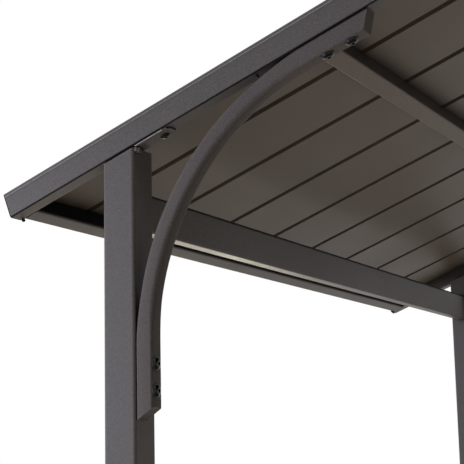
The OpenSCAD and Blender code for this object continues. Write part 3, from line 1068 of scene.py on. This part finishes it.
def add_world():
    """White to the camera and in reflections, and a dim even fill to everything else."""
    world = bpy.data.worlds.new("studio")
    bpy.context.scene.world = world
    world.use_nodes = True
    tree = world.node_tree
    tree.nodes.clear()
    fill = add_node(tree, "ShaderNodeBackground", {}, {"Color": FILL_COLOUR, "Strength": FILL_STRENGTH})
    backdrop = add_node(tree, "ShaderNodeBackground", {}, {"Color": WHITE, "Strength": 1.0})
    mix = add_node(tree, "ShaderNodeMixShader")
    tree.links.new(seen_directly(tree), mix.inputs["Fac"])
    tree.links.new(fill.outputs[0], mix.inputs[1])
    tree.links.new(backdrop.outputs[0], mix.inputs[2])
    result = add_node(tree, "ShaderNodeOutputWorld")
    tree.links.new(mix.outputs[0], result.inputs["Surface"])


def add_camera():
    """Camera at the photograph's place: level axes, turned by the yaw, the pitch and the roll."""
    data = bpy.data.cameras.new("camera")
    data.type = "PERSP"
    data.sensor_width = 36.0
    data.lens = CAMERA_LENS
    data.clip_start = 0.05
    data.clip_end = 200.0
    camera = bpy.data.objects.new("camera", data)
    yaw, pitch, roll = CAMERA_ANGLES
    forward = np.array([sin(yaw) * cos(pitch), cos(yaw) * cos(pitch), sin(pitch)])
    level = np.array([cos(yaw), -sin(yaw), 0.0])
    down = np.cross(forward, level)
    right = cos(roll) * level + sin(roll) * down
    below = cos(roll) * down - sin(roll) * level
    axes = np.stack([right, -below, -forward, CAMERA_PLACE], axis=1)
    camera.matrix_world = Matrix((*axes.tolist(), (0.0, 0.0, 0.0, 1.0)))
    bpy.context.scene.collection.objects.link(camera)
    bpy.context.scene.camera = camera


class GAZEBO_OT_stage(Operator):
    """Pale floor, soft lamps, white background and the camera at the photograph's viewing angle"""
    bl_idname = "gazebo.stage"
    bl_label = "Stage"

    def execute(self, context):
        scene = context.scene
        scene.view_settings.view_transform = "Standard"
        add_floor(scene.gazebo_colours.floor)
        for name, lamp in LAMPS.items():
            add_lamp(name, *lamp)
        add_world()
        add_camera()
        return {"FINISHED"}


class GAZEBO_PT_dress(Panel):
    """Buttons that make each group of pieces"""
    bl_idname = "GAZEBO_PT_dress"
    bl_label = "Metal gazebo"
    bl_space_type = "VIEW_3D"
    bl_region_type = "UI"
    bl_category = "Gazebo"

    def draw(self, context):
        for operator in OPERATORS:
            self.layout.operator(operator.bl_idname)


OPERATORS = (
    GAZEBO_OT_coats,
    GAZEBO_OT_brace_skins,
    GAZEBO_OT_brace_bolts,
    GAZEBO_OT_plate_screws,
    GAZEBO_OT_foot_anchors,
    GAZEBO_OT_post_welds,
    GAZEBO_OT_foot_welds,
    GAZEBO_OT_roof_screws,
    GAZEBO_OT_rake_laps,
    GAZEBO_OT_rake_shade_lines,
    GAZEBO_OT_beam_shade_lines,
    GAZEBO_OT_plug_lips,
    GAZEBO_OT_plate_lips,
    GAZEBO_OT_eave_closures,
    GAZEBO_OT_eave_shade_strips,
    GAZEBO_OT_stage,
)
CLASSES = (GazeboSizes, GazeboColours, *OPERATORS, GAZEBO_PT_dress)


def register():
    """Register the classes and hang the settings on the scene."""
    for made in CLASSES:
        bpy.utils.register_class(made)
    bpy.types.Scene.gazebo_sizes = PointerProperty(type=GazeboSizes)
    bpy.types.Scene.gazebo_colours = PointerProperty(type=GazeboColours)


def unregister():
    """Take the settings off the scene and unregister the classes."""
    del bpy.types.Scene.gazebo_colours
    del bpy.types.Scene.gazebo_sizes
    for made in reversed(CLASSES):
        bpy.utils.unregister_class(made)


def main():
    """Make every group of pieces in order."""
    register()
    bpy.ops.gazebo.coats()
    bpy.ops.gazebo.brace_skins()
    bpy.ops.gazebo.brace_bolts()
    bpy.ops.gazebo.plate_screws()
    bpy.ops.gazebo.foot_anchors()
    bpy.ops.gazebo.post_welds()
    bpy.ops.gazebo.foot_welds()
    bpy.ops.gazebo.roof_screws()
    bpy.ops.gazebo.rake_laps()
    bpy.ops.gazebo.rake_seals()
    bpy.ops.gazebo.beam_seals()
    bpy.ops.gazebo.plug_lips()
    bpy.ops.gazebo.plate_lips()
    bpy.ops.gazebo.eave_closures()
    bpy.ops.gazebo.eave_fillers()
    bpy.ops.gazebo.stage()


if __name__ == "__main__":
    main()
